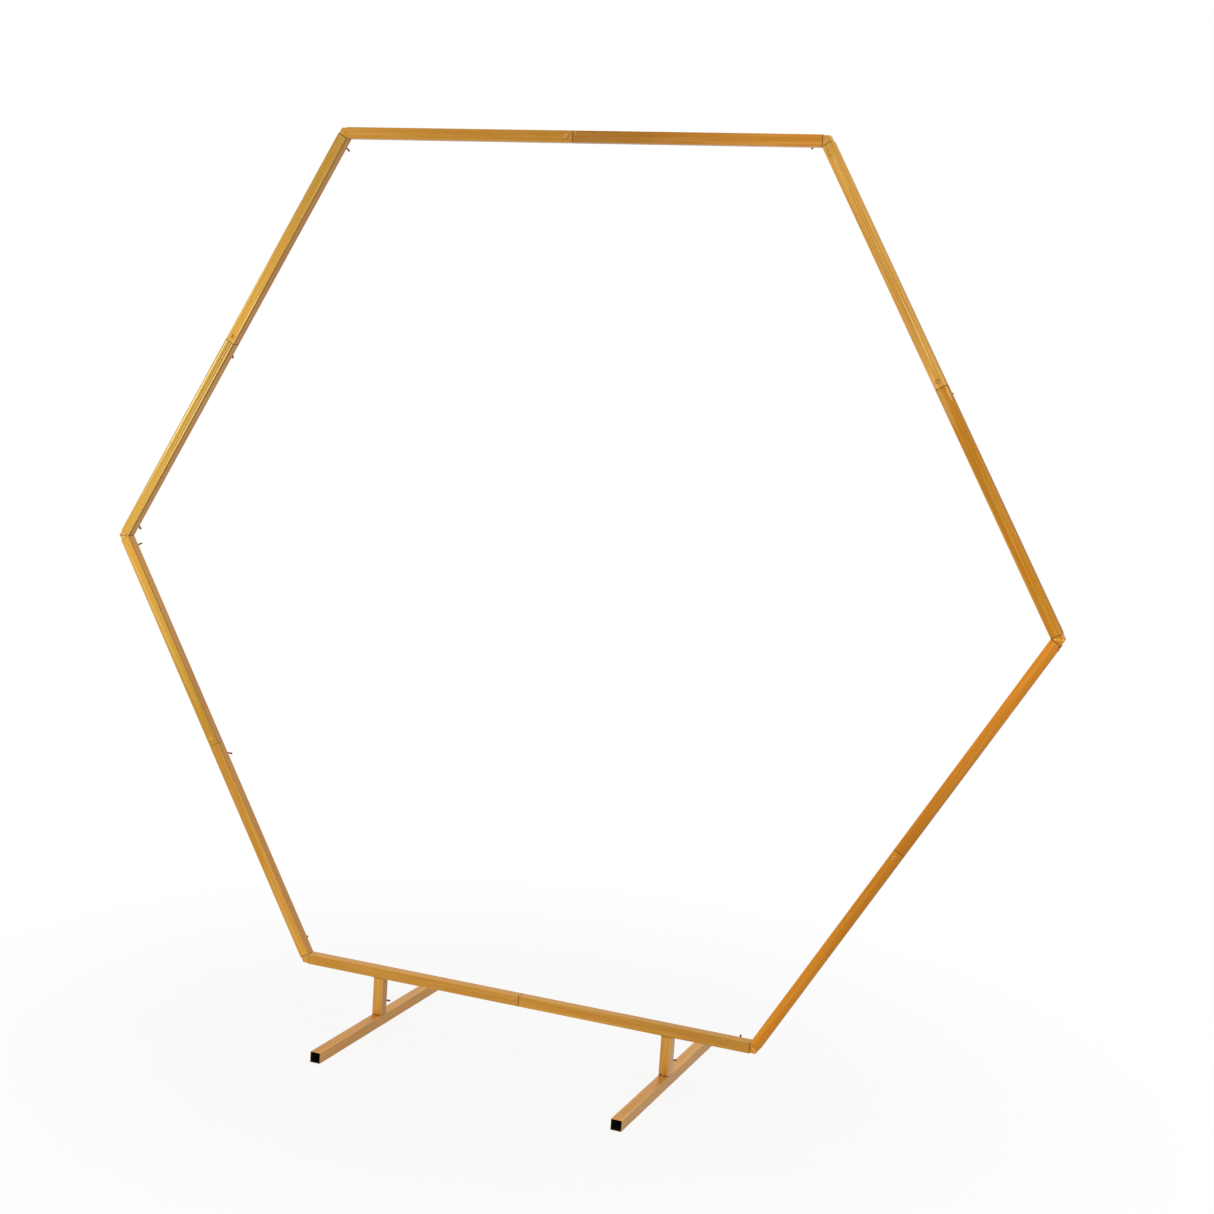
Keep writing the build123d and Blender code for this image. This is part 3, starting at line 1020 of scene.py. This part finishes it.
def weldLump(name, spots):
    # one closed lump from overlapping balls: each spot has a place and a radius, and z is the height
    balls = []
    for place, radius in spots:
        deselectAll()
        bpy.ops.mesh.primitive_ico_sphere_add(subdivisions=3, radius=radius, location=place)
        ball = bpy.context.object
        ball.scale = (1, 1, weldLumps["flatten"])
        bpy.ops.object.transform_apply(location=True, scale=True)
        balls.append(ball)
    lump = joinPieces(name, balls)
    applyModifier(lump, "REMESH", mode="VOXEL", voxel_size=weldLumps["voxel"])
    applyModifier(lump, "SMOOTH", factor=0.5, iterations=weldLumps["smoothing"])
    return lump


def moveTo(piece, place):
    # the piece's own mesh moved to its place
    piece.data.transform(place)
    return piece


def weldPiece(name, lumps, material):
    finishPiece(name, lumps, material, weldLumps["smoothBelow"])


# plug welds, which hold each sleeve in one half tube: an uneven ring around a sunken middle

plugWeld = {
    "rimRadius": 0.0033,
    "rimWander": 0.00008,
    "rimSpots": 26,
    "spotRadius": 0.00085,
    "swell": 0.00012,  # of the rim on its low side
    "ripple": 0.00008,  # of the rim, three times around
    "lumpRadius": 0.0011,
    "lumpAside": 0.0010,
    "brighter": 1.3,  # painted highlight: lighter than the tube around it
    "look": {"shine": 0.0, "inner": None, "across": None},
}


def plugCrater(seed):
    chance = random.Random(seed)
    lowSide = chance.uniform(0, math.tau)
    spots = []
    for number in range(plugWeld["rimSpots"]):
        angle = math.tau * number / plugWeld["rimSpots"]
        swell = plugWeld["swell"] * math.cos(angle - lowSide)
        swell += plugWeld["ripple"] * math.cos(3 * angle + seed)
        radius = plugWeld["rimRadius"] + wander(chance, plugWeld["rimWander"])
        place = (radius * math.cos(angle), radius * math.sin(angle), 0)
        spots.append((place, plugWeld["spotRadius"] + swell))
    aside = plugWeld["lumpAside"]
    spots.append(((aside * math.cos(lowSide), aside * math.sin(lowSide), 0), plugWeld["lumpRadius"]))
    return weldLump("plugCrater", spots)


for index, (side, _, second, holder) in enumerate(sides):
    seed = 30 + index
    look = {**tubeLooks[f"{side}_tube_{holder}"], "seed": seed, **plugWeld["look"]}
    valueAtSeam = look["value"][0 if holder == second else 1]
    look["value"] = plugWeld["brighter"] * valueAtSeam
    onFace = moved(plugAlong(index), -tubeHalf, axisApothem) @ turned(90, "X")
    crater = moveTo(plugCrater(seed), sidePlace(index) @ onFace)
    weldPiece(f"{camel(side)}PlugWeld", [crater], makeGold(f"{side}_plug_weld", worldPlace, look))
print("plug welds on")

# tacks across the mitre of each elbow, on its front and back, and a bead over its outer edge

mitreWeld = {
    # tacks of each corner on the front: distance outward from the middle of the elbow, and size
    "tacks": {
        "top_right": [(-0.0050, 0.9), (0.0005, 1.15), (0.0052, 0.9), (0.0102, 1.1)],
        "right": [(-0.0045, 1.05), (0.0028, 0.9), (0.0098, 1.1)],
        "bottom_right": [(0.0010, 1.1), (0.0085, 1.2)],
        "bottom_left": [(0.0095, 0.7)],
        "left": [(-0.0040, 0.8), (0.0032, 0.9), (0.0100, 0.9)],
        "top_left": [(-0.0030, 0.9), (0.0035, 0.8), (0.0085, 1.2)],
    },
    "backTacks": [(-0.0040, 1.0), (0.0035, 1.0), (0.0105, 1.0)],
    # a tack of size 1: a ball and five smaller ones around it
    "tackRadius": 0.0017,
    "tackSpots": 5,
    "spotReach": (0.0007, 0.0016),
    "spotRadius": (0.0009, 0.0014),
    "tackWander": 0.0006,
    # the seam that the tacks lie on
    "seamFrom": -0.0085,
    "seamTo": 0.0122,
    "seamRadius": 0.00075,
    "seamSwell": (0.75, 1.15),
    "seamWander": 0.00025,
    # the bead over the outer edge, from the middle both ways
    "beadSpots": 9,
    "beadStep": 0.00115,
    "beadSink": 0.0008,
    "beadRadius": (0.0010, 0.0013),
    "beadWander": 0.0002,
    # painted light and shade: each corner's welds are painted lighter or darker as the light falls on them
    "looks": {
        "top_right": {"value": 1.3, "hue": 0.502},
        "right": {"value": 1.6, "hue": 0.510, "saturation": 0.96},
        "bottom_right": {"value": 1.45, "hue": 0.500},
        "bottom_left": {"value": 1.25, "hue": 0.502},
        "left": {"value": 0.55, "hue": 0.490},
        "top_left": {"value": 1.0, "hue": 0.505},
    },
}


def tackSpots(chance, size):
    spots = [((0, 0, 0), mitreWeld["tackRadius"] * size)]
    for _ in range(mitreWeld["tackSpots"]):
        angle = chance.uniform(0, math.tau)
        reach = chance.uniform(*mitreWeld["spotReach"]) * size
        place = (reach * math.cos(angle), reach * math.sin(angle), 0)
        spots.append((place, chance.uniform(*mitreWeld["spotRadius"]) * size))
    return spots


def mitreFace(chance, tacks):
    # the seam and its tacks, with the distance outward on Y
    spots = []
    outward = mitreWeld["seamFrom"]
    while outward < mitreWeld["seamTo"]:
        place = (wander(chance, mitreWeld["seamWander"]), outward, 0)
        spots.append((place, mitreWeld["seamRadius"] * chance.uniform(*mitreWeld["seamSwell"])))
        outward += mitreWeld["seamRadius"]
    for outward, size in tacks:
        aside = wander(chance, mitreWeld["tackWander"])
        spots += [((x + aside, y + outward, z), radius) for (x, y, z), radius in tackSpots(chance, size)]
    return weldLump("mitreFace", spots)


def mitreBead(chance):
    spots = []
    for number in range(-mitreWeld["beadSpots"], mitreWeld["beadSpots"] + 1):
        aside = wander(chance, mitreWeld["beadWander"])
        place = (aside, number * mitreWeld["beadStep"], -mitreWeld["beadSink"])
        spots.append((place, chance.uniform(*mitreWeld["beadRadius"])))
    return weldLump("mitreBead", spots)


def mitreWelds(index):
    chance = random.Random(50 + index)
    middle = cornerPlace(index)
    toFront = middle @ moved(0, -elbowHalf, 0) @ turned(90, "X")
    toBack = middle @ moved(0, elbowHalf, 0) @ turned(180, "Z") @ turned(90, "X")
    toEdge = middle @ moved(0, 0, elbowHalf / math.cos(mitreTurn))
    front = mitreFace(chance, mitreWeld["tacks"][corners[index]])
    back = mitreFace(chance, mitreWeld["backTacks"])
    bead = mitreBead(chance)
    return [moveTo(front, toFront), moveTo(back, toBack), moveTo(bead, toEdge)]


for index, corner in enumerate(corners):
    look = {**elbowLooks[corner], **mitreWeld["looks"][corner], "seed": 40 + index}
    weldPiece(f"{camel(corner)}MitreWeld", mitreWelds(index), makeGold(f"{corner}_weld", worldPlace, look))
print("mitre welds on")

# beads where the legs are welded under the bottom side, and crumbs of paint where they stand on the feet

legWeld = {
    "sideBead": 0.0014,
    "frontBead": 0.0009,
    "frontInset": 0.0004,  # of the front and back beads, under the rounded edge
    "sideTilt": 45,  # of the side beads, in the corner between leg and tube
    "drop": 0.0002,
    "shorter": 0.004,  # than the tube is wide
    "beadStep": 1.1,  # in radii of the bead, as are the next two
    "beadSwell": (0.8, 1.15),
    "beadWander": 0.2,
    "crumbCount": 7,
    "crumb": 0.0006,
    "crumbSwell": (0.6, 1.2),
    "crumbPair": (0.7, 0.8),  # how far aside its second ball is, and how big, against the first
    "crumbSpread": 0.011,
    "crumbReach": 0.0004,
    "crumbLift": 0.0001,
    # painted shade: the beads are painted dark for the shade in the crease under the bottom side
    "beadLook": {"value": 0.25, "saturation": 0.9, "seed": 22},
    "crumbLook": {"value": 1.3, "seed": 21},
}


def legBead(chance, radius):
    spots = []
    step = radius * legWeld["beadStep"]
    count = int((tubeWidth - legWeld["shorter"]) / step)
    for number in range(count + 1):
        place = ((number - count / 2) * step, wander(chance, legWeld["beadWander"]) * radius, 0.0)
        spots.append((place, radius * chance.uniform(*legWeld["beadSwell"])))
    return weldLump("legBead", spots)


def legBeads(chance, x):
    # around the top of one leg: front, one side, back, the other side
    beads = []
    for turn in range(4):
        onFront = turn % 2 == 0
        bead = legBead(chance, legWeld["frontBead" if onFront else "sideBead"])
        reach = tubeHalf - (legWeld["frontInset"] if onFront else 0.0)
        top = moved(x, 0, legTop - legWeld["drop"]) @ turned(90 * turn, "Z")
        tilt = turned(90 if onFront else legWeld["sideTilt"], "X")
        beads.append(moveTo(bead, top @ moved(0, -reach, 0) @ tilt))
    return beads


def footCrumbs(chance, x, footTop):
    crumbs = []
    for _ in range(legWeld["crumbCount"]):
        size = legWeld["crumb"] * chance.uniform(*legWeld["crumbSwell"])
        aside, smaller = (size * share for share in legWeld["crumbPair"])
        crumb = weldLump("crumb", [((0, 0, 0), size), ((aside, 0, 0), smaller)])
        along = x + wander(chance, legWeld["crumbSpread"])
        front = -tubeHalf - chance.uniform(0.0, legWeld["crumbReach"])
        spot = moved(along, front, footTop + legWeld["crumbLift"])
        crumbs.append(moveTo(crumb, spot @ Matrix.Rotation(chance.uniform(0, math.tau), 4, "Z")))
    return crumbs


beads = []
crumbs = []
for number, (side, x) in enumerate(legX.items()):
    chance = random.Random(80 + number)
    beads += legBeads(chance, x)
    crumbs += footCrumbs(chance, x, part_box(f"{side}_foot")[1].z)
weldPiece("legWelds", beads, makeGold("shadedBeadGold", worldPlace, legWeld["beadLook"]))
weldPiece("legCrumbs", crumbs, makeGold("crumbGold", worldPlace, legWeld["crumbLook"]))
print("leg welds on")
